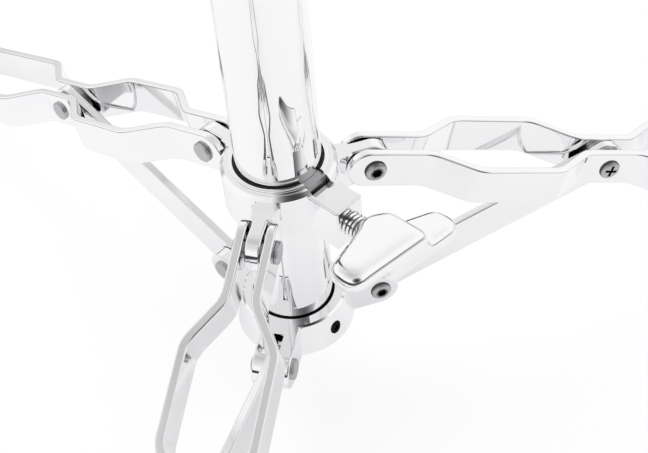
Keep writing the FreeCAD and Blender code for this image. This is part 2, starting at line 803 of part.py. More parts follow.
def braces():
    """Single strips from the lower casting to the elbows."""
    for name, angle in LEGS.items():
        spin = about_z(angle)
        place = Placement(spin.multVec(Vector(number("pivot_radius"), 0, number("base_level"))),
                          spin * Rotation(Y, -fold))
        half = "brace_height / 2"
        body = plate(f"brace_{name}", "XZ_Plane", [
            (f"-{half}", f"-{half}"), (f"brace_length + {half}", f"-{half}"),
            (f"brace_length + {half}", half), (f"-{half}", half)], "brace_thick")
        soften(body, "brace_height * 0.49", lambda edge: along(edge, Y))
        holes = sketch_on(body, "XZ_Plane")
        for station in ("0", "brace_length"):
            add_circle(holes, (station, "0"), "pin_diameter + 2 * running_fit")
        pocket(body, holes)
        face = number("brace_thick / 2")
        bore = number("pin_diameter")
        soften(body, "strip_edge", lambda edge: abs(abs(middle(edge).y) - face) < 1e-3
               and not (hasattr(edge.Curve, "Radius") and edge.Curve.Radius < bore))
        keep(body, f"brace_{name}", place)


# Wings: one casting, used on the collar, the height clamp and the tilter

def wing(label, place, bore, sink):
    """Cast wing: a boss along X and two lobes along Y, lapped one above the other at the boss."""
    body = new_body(label)
    inner = "wing_near + wing_sweep * wing_core / wing_span"
    outline = [
        ("wing_near", "0"), (inner, "wing_core / 2"), ("wing_far", "wing_core / 2"),
        ("wing_far", "-wing_span / 2"),
        ("wing_near + wing_sweep", "-wing_span / 2")]
    for side, level in ((1, "-wing_lap"), (-1, "-wing_rise")):
        lobe = sketch_on(body, "XY_Plane", level)
        add_polygon(lobe, [(x, f"{side} * ({y})") for x, y in outline])
        pad(body, lobe, "wing_rise + wing_lap", "One side")
    tip = number("wing_span / 2")
    core = number("wing_core / 2")
    rise = number("wing_rise")
    soften(body, "wing_tip", lambda edge: along(edge, Z) and abs(middle(edge).y) > tip - 0.1)
    soften(body, "wing_round", lambda edge: abs(abs(middle(edge).z) - rise) < 1e-3)
    soften(body, "wing_round / 2", lambda edge: abs(middle(edge).y) > core + 1e-3
           and abs(middle(edge).z) < number("wing_lap") + 1e-3 and not along(edge, Z))
    boss = "wing_boss / 2"
    edge = "wing_round / 3"
    turn(body, add_polygon(sketch_on(body, "XZ_Plane"), [
        ("0", "0"), ("0", f"{boss} - {edge}"), (edge, boss), ("wing_far / 2", boss),
        ("wing_far / 2", "0")]), "X_Axis")
    pocket(body, add_circle(sketch_on(body, "YZ_Plane"), ("0", "0"), bore), sink, "One side",
        backwards=True)
    keep(body, label, place)


def stud(label, length, place):
    """Plain-ended stud along X, from its tip to inside the wing."""
    bevel = "stud_diameter / 8"
    half = "stud_diameter / 2"
    body = new_body(label)
    turn(body, add_polygon(sketch_on(body, "XZ_Plane"), [
        ("0", "0"), ("0", f"{half} - {bevel}"), (bevel, half), (length, half), (length, "0")]), "X_Axis")
    keep(body, label, place)


def collar_wing():
    spin = about_z(CLAMP_SIDE) * Rotation(X, -number("wing_turn"))
    level = number("collar_level + collar_rise / 2")

    def at_reach(reach):
        return Placement(about_z(CLAMP_SIDE).multVec(Vector(number(reach), 0, level)), spin)

    tip = "shoe_back + joint_gap"
    wing("collar_wing", at_reach("clamp_reach + stud_show"), "stud_diameter + 2 * press_fit", "stud_hold")
    stud("collar_stud", f"clamp_reach + stud_show + stud_hold - ({tip}) - joint_gap", at_reach(tip))


# Height clamp

def height_clamp():
    """Casting on top of the base tube, split above it to grip the mast."""
    body = new_body("height_clamp")
    turn(body, add_polygon(sketch_on(body, "XZ_Plane"), [
        ("tube_radius + press_fit", "-clamp_grip"), ("clamp_radius - hub_edge", "-clamp_grip"),
        ("clamp_radius", "-clamp_grip + hub_edge"), ("clamp_radius", "clamp_height - hub_edge"),
        ("clamp_radius - hub_edge", "clamp_height"), ("tube_bore", "clamp_height"),
        ("tube_bore", "0"), ("tube_radius + press_fit", "0")]))
    ears = sketch_on(body, "XZ_Plane")
    low = "ear_level - ear_height / 2"
    high = "ear_level + ear_height / 2"
    add_box(ears, ("clamp_radius - clamp_wall / 2", low), ("clamp_radius + ear_reach", high))
    pad(body, ears, "clamp_split + 2 * ear_thick")
    reach = number("clamp_radius + ear_reach")
    soften(body, "ear_height * 0.3", lambda edge: along(edge, Y) and middle(edge).x > reach - 1)
    soften(body, "hub_edge * 0.6", lambda edge: middle(edge).x > number("clamp_radius + hub_edge"))
    split = sketch_on(body, "XZ_Plane")
    add_box(split, ("mast_radius", "ear_lift"), ("2 * clamp_radius + ear_reach", "2 * clamp_height"))
    pocket(body, split, "clamp_split")
    pocket(body, add_circle(sketch_on(body, "XZ_Plane"), ("ear_centre", "ear_level"),
                            "stud_diameter + 2 * press_fit"))
    keep(body, "height_clamp", at_height("tube_top", CLAMP_SIDE))


def height_bush():
    """Nylon bush that guides the mast, with a flange on top of the clamp."""
    spigot = "tube_bore - seat_fit"
    flange = "clamp_radius - hub_edge - bush_edge"
    body = turned("height_bush", [
        ("height_bore", "-bush_spigot"), (spigot, "-bush_spigot"), (spigot, "clamp_height"),
        (flange, "clamp_height"), (flange, "clamp_height + bush_flange - bush_edge"),
        (f"{flange} - bush_edge", "clamp_height + bush_flange"),
        ("height_bore", "clamp_height + bush_flange")])
    gap = sketch_on(body, "XZ_Plane")
    add_box(gap, ("mast_radius * 0.5", "ear_lift"), ("3 * mast_radius", "3 * clamp_height"))
    pocket(body, gap, "clamp_split")
    keep(body, "height_bush", at_height("tube_top", CLAMP_SIDE))


def height_wing():
    spin = about_z(CLAMP_SIDE)
    across = spin * Rotation(Z, 90) * Rotation(X, 65)
    level = number("tube_top + ear_level")
    face = "clamp_split / 2 + ear_thick"

    def at_side(offset):
        return Placement(spin.multVec(Vector(number("ear_centre"), number(offset), level)), across)

    show = f"{face} + stud_show * 1.7"
    wing("height_wing", at_side(show), "stud_diameter + 2 * press_fit", "stud_hold")
    stud("height_stud", f"{show} + stud_hold - joint_gap + ({face})", at_side(f"-({face})"))


# Mast and height lock

def mast_tube():
    bore = "mast_radius - mast_wall"
    body = turned("mast_tube", [
        (bore, "0"), ("mast_radius", "0"), ("mast_radius", "mast_length"), (bore, "mast_length")])
    keep(body, "mast_tube", at_height("mast_top - mast_length"))


def lock_ring():
    """Ring that sets the height, with a boss for its key screw."""
    body = new_body("lock_ring")
    radius = "mast_radius + running_fit + lock_wall"
    turn(body, add_polygon(sketch_on(body, "XZ_Plane"), ring_corners(
        "mast_radius + running_fit", radius, "0", "lock_height", "hub_edge")))
    boss = sketch_on(body, "YZ_Plane", "mast_radius + lock_wall / 2")
    add_box(boss, ("-lock_boss_width / 2", "lock_height / 2 - lock_boss_width / 2"),
            ("lock_boss_width / 2", "lock_height / 2 + lock_boss_width / 2"))
    pad(body, boss, "lock_wall / 2 + lock_boss", "One side")
    limit = number(f"{radius} + hub_edge / 2")
    soften(body, "hub_edge", lambda edge: middle(edge).x > limit)
    pocket(body, add_circle(sketch_on(body, "YZ_Plane"), ("0", "lock_height / 2"),
        "key_diameter + 2 * press_fit"),
           side="One side", backwards=True)
    keep(body, "lock_ring", at_height("lock_level", CLAMP_SIDE))


def lock_screw():
    """Square-headed key screw of the height lock."""
    body = new_body("lock_screw")
    seat = "mast_radius + running_fit + lock_wall + lock_boss"
    tip = "mast_radius + running_fit + joint_gap"
    length = f"{seat} - ({tip})"
    pad(body, add_circle(sketch_on(body, "XY_Plane"), ("0", "0"), "key_diameter"), length, "One side")
    pad(body, add_circle(sketch_on(body, "XY_Plane", length), ("0", "0"), "key_square * 1.9"),
        "key_collar",
        "One side")
    half = "key_square / 2"
    pad(body, add_box(sketch_on(body, "XY_Plane", f"{length} + key_collar"), (f"-{half}", f"-{half}"),
        (half, half)),
        "key_head - key_collar", "One side")
    spin = about_z(CLAMP_SIDE)
    level = number("lock_level + lock_height / 2")
    keep(body, "lock_screw", Placement(
        spin.multVec(Vector(number(tip), 0, level)), spin * Rotation(Y, 90)))


# Tilter

def tilter_neck():
    """Casting over the top of the mast, with the knuckle that the fork tilts on."""
    body = new_body("tilter_neck")
    radius = "mast_radius + press_fit + neck_wall"
    turn(body, add_polygon(sketch_on(body, "XZ_Plane"), [
        ("0", "0"), ("mast_radius + press_fit", "0"), ("mast_radius + press_fit", "-neck_hold"),
        (f"{radius} - hub_edge", "-neck_hold"), (radius, "-neck_hold + hub_edge"),
        (radius, "neck_floor - neck_bevel"),
        (f"{radius} - neck_bevel", "neck_floor"), ("0", "neck_floor")]))
    pad(body, add_tab(sketch_on(body, "YZ_Plane"), "neck_floor / 2", "neck_floor + knuckle_lift",
        "knuckle_radius",
                      upright=True), "knuckle_width")
    pocket(body, add_circle(sketch_on(body, "YZ_Plane"), ("0", "neck_floor + knuckle_lift"),
                            "bolt_diameter + 2 * running_fit"))
    keep(body, "tilter_neck", at_height("mast_top"))


def tilter_fork():
    """Fork over the knuckle, with the crown that holds the basket post."""
    body = new_body("tilter_fork")
    pad(body, add_tab(sketch_on(body, "YZ_Plane"), "crown_high", "0", "knuckle_radius", upright=True),
        "fork_width")
    soften(body, "hub_edge * 1.5", lambda edge: middle(edge).z > number("crown_high") - 1e-3
           or abs(abs(middle(edge).x) - number("fork_width / 2")) < 1e-3)
    gap = sketch_on(body, "YZ_Plane")
    add_box(gap, ("-2 * knuckle_radius", "-2 * knuckle_radius"), ("2 * knuckle_radius", "crown_low"))
    pocket(body, gap, "fork_gap")
    pocket(body, add_circle(sketch_on(body, "YZ_Plane"), ("0", "0"), "bolt_diameter + 2 * press_fit"))
    pocket(body, add_circle(sketch_on(body, "XY_Plane", "crown_high"), ("0", "0"),
        "post_diameter + 2 * press_fit"),
           "post_sink", "One side")
    keep(body, "tilter_fork", at_height("tilt_level"))


def tilt_washers():
    members = []
    for side in (-1, 1):
        face = f"{side} * (knuckle_width / 2 + joint_gap / 4 + tilt_washer / 2)"
        washer = turned("tilt_washer", [
            ("bolt_diameter / 2 + press_fit", f"{face} - tilt_washer / 2"),
            ("knuckle_radius - hub_edge", f"{face} - tilt_washer / 2"),
            ("knuckle_radius - hub_edge", f"{face} + tilt_washer / 2"),
            ("bolt_diameter / 2 + press_fit", f"{face} + tilt_washer / 2")])
        washer.Placement = Placement(Vector(0, 0, number("tilt_level")), Rotation(Y, 90))
        members.append(washer)
    group("tilt_washers", members)


def tilt_bolt():
    """Hexagon bolt across the fork, along X, that the wing nut closes."""
    body = new_body("tilt_bolt")
    half = "bolt_diameter / 2"
    face = "-fork_width / 2"
    tail = "fork_width / 2 + wing_sink - bolt_spare"
    bevel = "bolt_diameter / 8"
    turn(body, add_polygon(sketch_on(body, "XZ_Plane"), [
        (face, "0"), (face, half), (f"{tail} - {bevel}", half), (tail, f"{half} - {bevel}"),
        (tail, "0")]), "X_Axis")
    corner = "bolt_head_across / 2 / cos(30)"
    head = sketch_on(body, "YZ_Plane", face)
    add_polygon(head, [(f"{corner} * cos({angle})", f"{corner} * sin({angle})") for angle in range(0,
        360, 60)])
    hat = pad(body, head, "bolt_head", "One side")
    hat.Reversed = True
    keep(body, "tilt_bolt", at_height("tilt_level"))


def tilt_wing():
    place = Placement(Vector(number("fork_width / 2 + joint_gap"), 0, number("tilt_level")),
        Rotation(X, 25))
    wing("tilt_wing", place, "bolt_diameter + 2 * running_fit", "wing_sink - joint_gap")


# Basket

def basket_post():
    foot_level = "crown_high - post_sink"
    top = f"{foot_level} + post_length"
    bevel = "post_diameter / 12"
    body = turned("basket_post", [
        ("0", foot_level), ("post_radius", foot_level), ("post_radius", f"{top} - {bevel}"),
        (f"post_radius - {bevel}", top),
        ("0", top)])
    keep(body, "basket_post", at_height("tilt_level"))


def basket_nut():
    """Hand nut on the post, with a neck that carries the thrust ring."""
    body = new_body("basket_nut")
    bore = "post_radius + running_fit"
    shoulder = "nut_low + nut_height - nut_shoulder"
    turn(body, add_polygon(sketch_on(body, "XZ_Plane"), [
        (bore, "nut_low"), ("nut_diameter / 2 - nut_edge", "nut_low"),
        ("nut_diameter / 2", "nut_low + nut_edge"),
        ("nut_diameter / 2", f"{shoulder} - nut_edge"), ("nut_diameter / 2 - nut_edge", shoulder),
        ("ring_radius - nut_edge", shoulder), ("ring_radius - nut_edge", "nut_low + nut_height"),
        ("neck_radius", "nut_low + nut_height"), ("neck_radius", "neck_high + clip_height"),
        (bore, "neck_high + clip_height")]))
    flute = pocket(body, add_circle(sketch_on(body, "XY_Plane", "nut_low + nut_height / 2"),
                                    ("nut_diameter / 2 + flute_diameter * 0.2", "0"), "flute_diameter"))
    pattern = three_times(body, [flute])
    pattern.Occurrences = 9
    keep(body, "basket_nut", at_height("tilt_level"))


def nut_clip():
    body = turned("nut_clip", [
        ("neck_radius + press_fit", "neck_high"), ("neck_radius + clip_wall", "neck_high"),
        ("neck_radius + clip_wall", "neck_high + clip_height"),
        ("neck_radius + press_fit", "neck_high + clip_height")])
    keep(body, "nut_clip", at_height("tilt_level"))


def thrust_ring():
    """Grooved ring on the neck of the nut, which moves the toes of the arms."""
    groove = "ring_radius - groove_depth"
    half = "groove_height / 2"
    bore = "neck_radius + running_fit"
    body = turned("thrust_ring", [
        (bore, "ring_low"), ("ring_radius - ring_edge", "ring_low"),
        ("ring_radius", "ring_low + ring_edge"),
        ("ring_radius", f"groove_level - {half}"), (groove, f"groove_level - {half}"),
        (groove, f"groove_level + {half}"), ("ring_radius", f"groove_level + {half}"),
        ("ring_radius", "ring_high - ring_edge"), ("ring_radius - ring_edge", "ring_high"),
        (bore, "ring_high")])
    keep(body, "thrust_ring", at_height("tilt_level"))


def basket_hub():
    """Plate on the post with three slotted lugs that carry the arms."""
    body = new_body("basket_hub")
    rim = "ring_radius + hub_rim"
    inside = "ring_radius + lug_clear"
    outside = "arm_pivot_radius + arm_depth * 2 / 3"
    low = "groove_level - arm_depth / 2"
    turn(body, add_polygon(sketch_on(body, "XZ_Plane"), ring_corners(
        "post_radius + press_fit", rim, "hub_low", "hub_high", "hub_edge")))
    lug = sketch_on(body, "XZ_Plane")
    add_polygon(lug, [
        (inside, low), ("arm_pivot_radius + arm_depth / 4", low),
        (outside, "groove_level - arm_depth / 12"),
        (outside, "groove_level + arm_depth / 3"), (f"{rim} + hub_edge", "hub_high - hub_edge"),
        (inside, "hub_high - hub_edge")])
    lugs = pad(body, lug, "arm_lug_width")
    three_times(body, [lugs])
    slot = pocket(body, add_box(
        sketch_on(body, "XZ_Plane"), ("ring_radius", "0"), ("3 * arm_pivot_radius", "2 * hub_high")),
        "arm_slot")
    hole = pocket(body, add_circle(
        sketch_on(body, "XZ_Plane"), ("arm_pivot_radius", "groove_level"), "arm_pin_diameter"))
    three_times(body, [slot, hole])
    keep(body, "basket_hub", at_height("tilt_level", FIRST_ARM))


def hub_pins():
    members = []
    half = "arm_lug_width / 2"
    for name, angle in ARMS.items():
        pin = turned(f"hub_pin_{name}", [
            ("0", f"-{half}"), ("arm_pin_diameter / 2", f"-{half}"), ("arm_pin_diameter / 2", half),
            ("0", half)])
        pin.Placement = pivot_place(angle, number("arm_pivot_radius"),
            number("tilt_level + groove_level"))
        members.append(pin)
    group("hub_pins", members)


def post_nut():
    """Hexagon nut that holds the hub down on the post."""
    body = new_body("post_nut")
    corner = "post_nut_across / 2 / cos(30)"
    pad(body, add_polygon(sketch_on(body, "XY_Plane", "hub_high"), [
        (f"{corner} * cos({angle})", f"{corner} * sin({angle})") for angle in range(0, 360, 60)]),
        "post_nut_height", "One side")
    soften(body, "post_nut_height / 10",
        lambda edge: abs(middle(edge).z - number("hub_high + post_nut_height")) < 1e-3)
    pocket(body, add_circle(sketch_on(body, "XY_Plane"), ("0", "0"), "post_diameter + 2 * press_fit"))
    keep(body, "post_nut", at_height("tilt_level"))


def arm(label, place):
    """Flat arm: toe in the groove, pivot in the hub, hook at the drum's hoop."""
    toe = "toe_height / 2"
    lower = "-arm_drop"
    corners = [
        ("toe_end", f"-{toe}"), ("arm_pivot_radius - arm_depth * 0.7", f"-{toe}"),
        ("arm_pivot_radius - arm_depth * 0.2", f"{lower} - arm_rise * arm_depth * 0.2"),
        ("hook_out", f"{lower} + arm_rise * (hook_out - arm_pivot_radius)"), ("hook_out", "hook_top"),
        ("hook_in", "hook_top"), ("hook_in", "knee_level"),
        ("arm_pivot_radius - arm_depth * 0.3", "arm_drop - arm_rise * arm_depth * 0.3"),
        ("arm_pivot_radius - arm_depth * 0.7", toe), ("toe_end", toe)]
    body = plate(label, "XZ_Plane", corners, "arm_thick")
    reach = number("hook_in - arm_depth")
    top = number("hook_top")
    soften(body, "arm_depth / 2", lambda edge: along(edge,
        Y) and middle(edge).x > reach and middle(edge).z < top - 1)
    pocket(body, add_circle(
        sketch_on(body, "XZ_Plane"), ("arm_pivot_radius", "0"), "arm_pin_diameter + 2 * running_fit"))
    face = number("arm_thick / 2")
    bore = number("arm_pin_diameter")
    soften(body, "strip_edge", lambda edge: abs(abs(middle(edge).y) - face) < 1e-3
           and not (hasattr(edge.Curve, "Radius") and edge.Curve.Radius < bore)
           and middle(edge).x > number("arm_pivot_radius - arm_depth * 0.2"))
    keep(body, label, place)


def grip(label, place):
    """Rubber grip over the hook: ledge under the hoop, wall behind it and lip over it."""
    wall = "drum_hoop_radius"
    low = "ledge_level - grip_ledge_thick"
    lip = "ledge_level + grip_mouth"
    back = "hook_out + grip_wall"
    top = "hook_top + grip_wall"
    body = plate(label, "XZ_Plane", [
        (f"{wall} - grip_ledge", low), (back, low), (back, top), (f"{wall} - grip_lip", top),
        (f"{wall} - grip_lip", f"{lip} + grip_slope"), (wall, lip), (wall, "ledge_level"),
        (f"{wall} - grip_ledge", "ledge_level")], "grip_width")
    soften(body, "grip_edge", lambda edge: along(edge, Y) and abs(middle(edge).x - number(wall)) > 0.5)
    half = "arm_thick / 2 + press_fit"
    hold = sketch_on(body, "XY_Plane")
    add_box(hold, ("hook_in - press_fit", f"-({half})"), ("hook_out + press_fit", half))
    pocket(body, hold, "hook_top + press_fit", "One side", backwards=True)
    keep(body, label, place)


def arms():
    level = number("tilt_level + groove_level")
    for name, angle in ARMS.items():
        place = Placement(Vector(0, 0, level), about_z(angle))
        arm(f"arm_{name}", place)
        grip(f"arm_{name}_grip", place)


base_tube()
tube_plug()
lower_casting()
casting_set_screw()
pivot_set("brace_pivot", "lug_width", "base_level")
leg_collar()
collar_bush()
clamp_shoe()
pivot_set("leg_pivot", "leg_pivot_width", "collar_level")
collar_wing()
legs()
braces()
height_clamp()
height_bush()
height_wing()
mast_tube()
lock_ring()
lock_screw()
tilter_neck()
tilter_fork()
tilt_washers()
tilt_bolt()
tilt_wing()
basket_post()
basket_nut()
nut_clip()
thrust_ring()
basket_hub()
hub_pins()
post_nut()
arms()
doc.recompute()

# Every feature has to be sound before anything is written.
for item in doc.Objects:
    if "Invalid" in item.State or "Error" in item.State:
        raise RuntimeError(f"{item.Label} failed: {item.State}")
for label, piece in nodes.items():
    if piece.Shape.isNull() or not piece.Shape.isValid():
        raise RuntimeError(f"{label} has no sound shape")

os.makedirs("parts", exist_ok=True)
for label, piece in nodes.items():
    piece.Shape.exportStep(os.path.join("parts", label + ".step"))
print(len(nodes), "nodes")
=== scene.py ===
import json
import math

import bmesh
import bpy
from mathutils import Matrix, Vector


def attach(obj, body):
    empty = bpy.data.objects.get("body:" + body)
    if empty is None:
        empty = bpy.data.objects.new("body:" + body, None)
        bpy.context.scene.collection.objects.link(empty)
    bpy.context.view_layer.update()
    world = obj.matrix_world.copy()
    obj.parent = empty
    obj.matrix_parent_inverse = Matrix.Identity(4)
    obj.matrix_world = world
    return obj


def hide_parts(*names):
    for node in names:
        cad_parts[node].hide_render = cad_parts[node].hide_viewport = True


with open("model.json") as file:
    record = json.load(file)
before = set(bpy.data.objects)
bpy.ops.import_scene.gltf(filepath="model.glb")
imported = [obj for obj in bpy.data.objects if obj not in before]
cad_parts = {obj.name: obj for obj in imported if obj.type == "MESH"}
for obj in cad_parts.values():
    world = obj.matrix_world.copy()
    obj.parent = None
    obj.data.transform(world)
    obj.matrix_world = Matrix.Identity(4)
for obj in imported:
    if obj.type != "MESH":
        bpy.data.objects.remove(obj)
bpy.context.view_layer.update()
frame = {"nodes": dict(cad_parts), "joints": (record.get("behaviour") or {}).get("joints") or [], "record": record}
bodies = frame["record"]["behaviour"]["bodies"]


# Base tube
# Seam-welded steel tube, 28.6 mm across, polished and chromed. The drawing die leaves faint
# lines along it, and hands leave faint smears.

class Wire:
    """One value in a material; sums and products of it add maths nodes."""

    def __init__(self, tree, socket=None):
        self.tree = tree
        self.socket = socket

    def node(self, kind, settings=None, feeds=None, take=0):
        """Adds a node: its settings, then the values or wires that go into it."""
        made = self.tree.nodes.new(kind)
        for name, value in (settings or {}).items():
            setattr(made, name, value)
        for name, value in (feeds or {}).items():
            if isinstance(value, Wire):
                self.tree.links.new(value.socket, made.inputs[name])
            else:
                made.inputs[name].default_value = value
        return Wire(self.tree, made.outputs[take])

    def maths(self, operation, first, second):
        return self.node("ShaderNodeMath", {"operation": operation}, {0: first, 1: second})

    def __add__(self, other):
        return self.maths("ADD", self, other)

    def __mul__(self, other):
        return self.maths("MULTIPLY", self, other)

    __radd__ = __add__
    __rmul__ = __mul__

    def ramp(self, low, high, from_value=0.0, to_value=1.0):
        """This value, smoothly taken from the stretch low to high onto another."""
        return self.node("ShaderNodeMapRange", {"interpolation_type": "SMOOTHSTEP"}, {
            "Value": self, "From Min": low, "From Max": high, "To Min": from_value, "To Max": to_value})

    def between(self, dark, pale):
        """A colour between two, by this value."""
        return self.node("ShaderNodeMix", {"data_type": "RGBA"},
                         {"Factor": self, 6: dark, 7: pale}, take=2)

    def noise(self, place, stretch, detail=2.0):
        """Noise with the given number of waves a metre along each axis."""
        scaled = self.node("ShaderNodeVectorMath", {"operation": "MULTIPLY"}, {0: place, 1: stretch})
        return self.node("ShaderNodeTexNoise", feeds={"Vector": scaled, "Scale": 1.0, "Detail": detail})


def new_finish(name, metallic):
    """A material, its surface shader and a wire to start from."""
    material = bpy.data.materials.new(name)
    material.use_nodes = True
    shader = material.node_tree.nodes["Principled BSDF"]
    shader.inputs["Metallic"].default_value = metallic
    return material, shader, Wire(material.node_tree)


def feed(shader, **inputs):
    """Links wires to the named inputs of a surface shader."""
    for name, wire in inputs.items():
        wire.tree.links.new(wire.socket, shader.inputs[name.replace("_", " ")])


def bump(height, strength, depth):
    """Surface relief, its depth in metres."""
    return height.node("ShaderNodeBump", take="Normal", feeds={
        "Height": height, "Strength": strength, "Distance": depth})


tube_chrome, shader, wire = new_finish("tube_chrome", 1.0)
place = wire.node("ShaderNodeTexCoord", take="Object")
draw_lines = wire.noise(place, (900.0, 900.0, 6.0))
smears = wire.noise(place, (34.0, 34.0, 16.0), detail=5.0)
feed(shader,
     Base_Color=smears.between((0.94, 0.945, 0.955, 1.0), (0.98, 0.98, 0.98, 1.0)),
     Roughness=smears.ramp(0.45, 0.75, 0.02, 0.06) + draw_lines * 0.015,
     Normal=bump(draw_lines, 0.12, 0.00002))


def settle(piece):
    """Turns a piece and its modifiers into one plain mesh."""
    settled = piece.evaluated_get(bpy.context.evaluated_depsgraph_get())
    plain = bpy.data.meshes.new_from_object(settled)
    piece.modifiers.clear()
    piece.data = plain


merge_gap = 1e-6


def clean(name, finish, crease=32):
    """Copy of a CAD node with its corners joined, its flats flat and its rounds smooth."""
    joined = bmesh.new()
    joined.from_mesh(frame["nodes"][name].data)
    bmesh.ops.remove_doubles(joined, verts=joined.verts, dist=merge_gap)
    joined.verts.index_update()
    mesh = bpy.data.meshes.new(name)
    corners = [v.co for v in joined.verts]
    mesh.from_pydata(corners, [], [[v.index for v in f.verts] for f in joined.faces])
    joined.free()
    mesh.materials.append(finish)
    mesh.polygons.foreach_set("use_smooth", [True] * len(mesh.polygons))
    mesh.set_sharp_from_angle(angle=math.radians(crease))
    piece = bpy.data.objects.new(name + "_skin", mesh)
    bpy.context.scene.collection.objects.link(piece)
    weigh = piece.modifiers.new("weigh", "WEIGHTED_NORMAL")
    weigh.keep_sharp = True
    settle(piece)
    return piece


def stands_for(piece, node):
    """The piece takes the place of a CAD node, on the body that carries it."""
    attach(piece, next(body for body, nodes in bodies.items() if node in nodes))
    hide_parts(node)


stands_for(clean("base_tube", tube_chrome), "base_tube")


# Tube plug
# Black nylon moulding pushed into the foot of the tube, which it closes. Its mould leaves a
# fine grain on it.

nylon, shader, wire = new_finish("nylon", 0.0)
shader.inputs["Specular IOR Level"].default_value = 0.2
place = wire.node("ShaderNodeTexCoord", take="Object")
grain = wire.noise(place, (2600.0, 2600.0, 2600.0), detail=3.0)
wear = wire.noise(place, (120.0, 120.0, 120.0), detail=4.0)
feed(shader,
     Base_Color=wear.between((0.008, 0.008, 0.009, 1.0), (0.02, 0.02, 0.022, 1.0)),
     Roughness=wear.ramp(0.3, 0.7, 0.36, 0.52),
     Normal=bump(grain, 0.35, 0.00006))
stands_for(clean("tube_plug", nylon), "tube_plug")


# Lower casting
# Zinc die casting pressed on the foot of the tube: a ring with three slotted lugs, tumbled,
# polished and chromed, so its faces ripple a little.

cast_chrome, shader, wire = new_finish("cast_chrome", 1.0)
place = wire.node("ShaderNodeTexCoord", take="Object")
ripple = wire.noise(place, (240.0, 240.0, 240.0), detail=1.5) * 0.000015
smears = wire.noise(place, (60.0, 60.0, 60.0), detail=5.0)
# Faces noted as sunk are painted near black and rougher: painted shade in the crease by the tube and at thread
# roots.
painted_shade = wire.node("ShaderNodeAttribute", {"attribute_name": "painted_shade"}, take="Fac")
feed(shader,
     Base_Color=painted_shade.between(smears.between((0.91, 0.915, 0.925, 1.0), (0.97, 0.97, 0.97, 1.0)),
                             (0.01, 0.01, 0.012, 1.0)),
     Roughness=smears.ramp(0.4, 0.75, 0.04, 0.10) + painted_shade * 0.3,
     Normal=bump(ripple, 1.0, 1.0))


def note_painted_shade(piece, amount):
    """Notes on each face how much painted shade it gets, from 0 to 1."""
    notes = piece.data.attributes.new("painted_shade", "FLOAT", "FACE")
    for face, note in zip(piece.data.polygons, notes.data):
        note.value = amount(face)


tube_radius = 0.0143
crease_shade_band = 0.0007
casting = clean("lower_casting", cast_chrome)
casting_top = max(corner.co.z for corner in casting.data.vertices)
# Painted shade: the top of the ring next to the tube is painted near black, for the shade in the crease where the
# tube goes in.
note_painted_shade(casting, lambda face: float(math.hypot(face.center.x, face.center.y) < tube_radius + crease_shade_band
                                      and face.center.z > casting_top - crease_shade_band))
stands_for(casting, "lower_casting")


# Set screw and brace pivots
# Turned steel with a thin matt plating: grub screw in the casting, and a barrel and socket
# screw through each lug.

steel, shader, wire = new_finish("steel", 1.0)
place = wire.node("ShaderNodeTexCoord", take="Object")
pits = wire.noise(place, (1800.0, 1800.0, 1800.0), detail=3.0)
stain = wire.noise(place, (210.0, 210.0, 210.0), detail=4.0)
# Faces noted as sunk are painted near black and rougher: painted shade in sockets, under rims, at thread roots and
# on recessed pieces.
painted_shade = wire.node("ShaderNodeAttribute", {"attribute_name": "painted_shade"}, take="Fac")
feed(shader,
     Base_Color=painted_shade.between(stain.between((0.44, 0.44, 0.45, 1.0), (0.62, 0.62, 0.63, 1.0)),
                             (0.012, 0.012, 0.012, 1.0)),
     Roughness=stain.ramp(0.3, 0.7, 0.30, 0.44) + painted_shade * 0.3,
     Normal=bump(pits, 0.25, 0.00005))
turns = {"a": math.radians(270), "b": math.radians(30), "c": math.radians(150)}
head_radius = 0.0038
socket_radius = 0.0022
socket_depth = 0.0013
socket_lip = 0.0001
# Painted shade: socket faces go black, the ring under the rim gets a painted shadow, and the middle round the
# socket gets painted shade that makes the dark socket look wider.
rim_share = 0.96
rim_shadow = 0.7
shaded_middle_share = 0.62
middle_shade = 0.55


def screw_heads(node, names, shaded_middle=0.0):
    """Clean copy of pivot screws, with painted shade in their sockets, a painted shadow under their rims and, if
    asked, painted shade on the middle round the socket.
    """
    piece = clean(node, steel)
    mesh = piece.data
    amounts = {}
    for name in names:
        out = Vector((math.cos(turns[name]), math.sin(turns[name]), 0.0))
        across = Vector((-out.y, out.x, 0.0))
        faces = [face for face in mesh.polygons if face.center.dot(out) > 0.0]
        corners = [mesh.vertices[i].co for face in faces for i in face.vertices]
        outs = [corner.dot(out) for corner in corners]
        heights = [corner.z for corner in corners]
        middle = ((max(outs) + min(outs)) / 2, (max(heights) + min(heights)) / 2)
        top = min(corner.dot(across) for corner in corners)
        for face in faces:
            aside = math.hypot(face.center.dot(out) - middle[0], face.center.z - middle[1])
            deep = face.center.dot(across) - top
            if aside < socket_radius and socket_lip < deep < socket_depth:
                amounts[face.index] = 1.0
            elif aside > head_radius * rim_share:
                amounts[face.index] = rim_shadow
            elif aside < head_radius * shaded_middle:
                amounts[face.index] = middle_shade
    note_painted_shade(piece, lambda face: amounts.get(face.index, 0.0))
    return piece


set_screw = clean("casting_set_screw", steel)
# The grub screw sits down in its hole and is painted near black all over, as painted shade.
set_screw_shade = 0.95
note_painted_shade(set_screw, lambda face: set_screw_shade)
stands_for(set_screw, "casting_set_screw")
stands_for(clean("brace_pivot_barrels", steel), "brace_pivot_barrels")
stands_for(screw_heads("brace_pivot_screws", turns, shaded_middle_share), "brace_pivot_screws")


# Braces
# Flat strip, 15 by 3.2 mm, cropped to length with round ends, tumbled and chromed. Its faces
# keep faint rolling lines along the strip, and its cut edges are duller. Each one leans out
# from its pivot by the angle of the spread tripod.

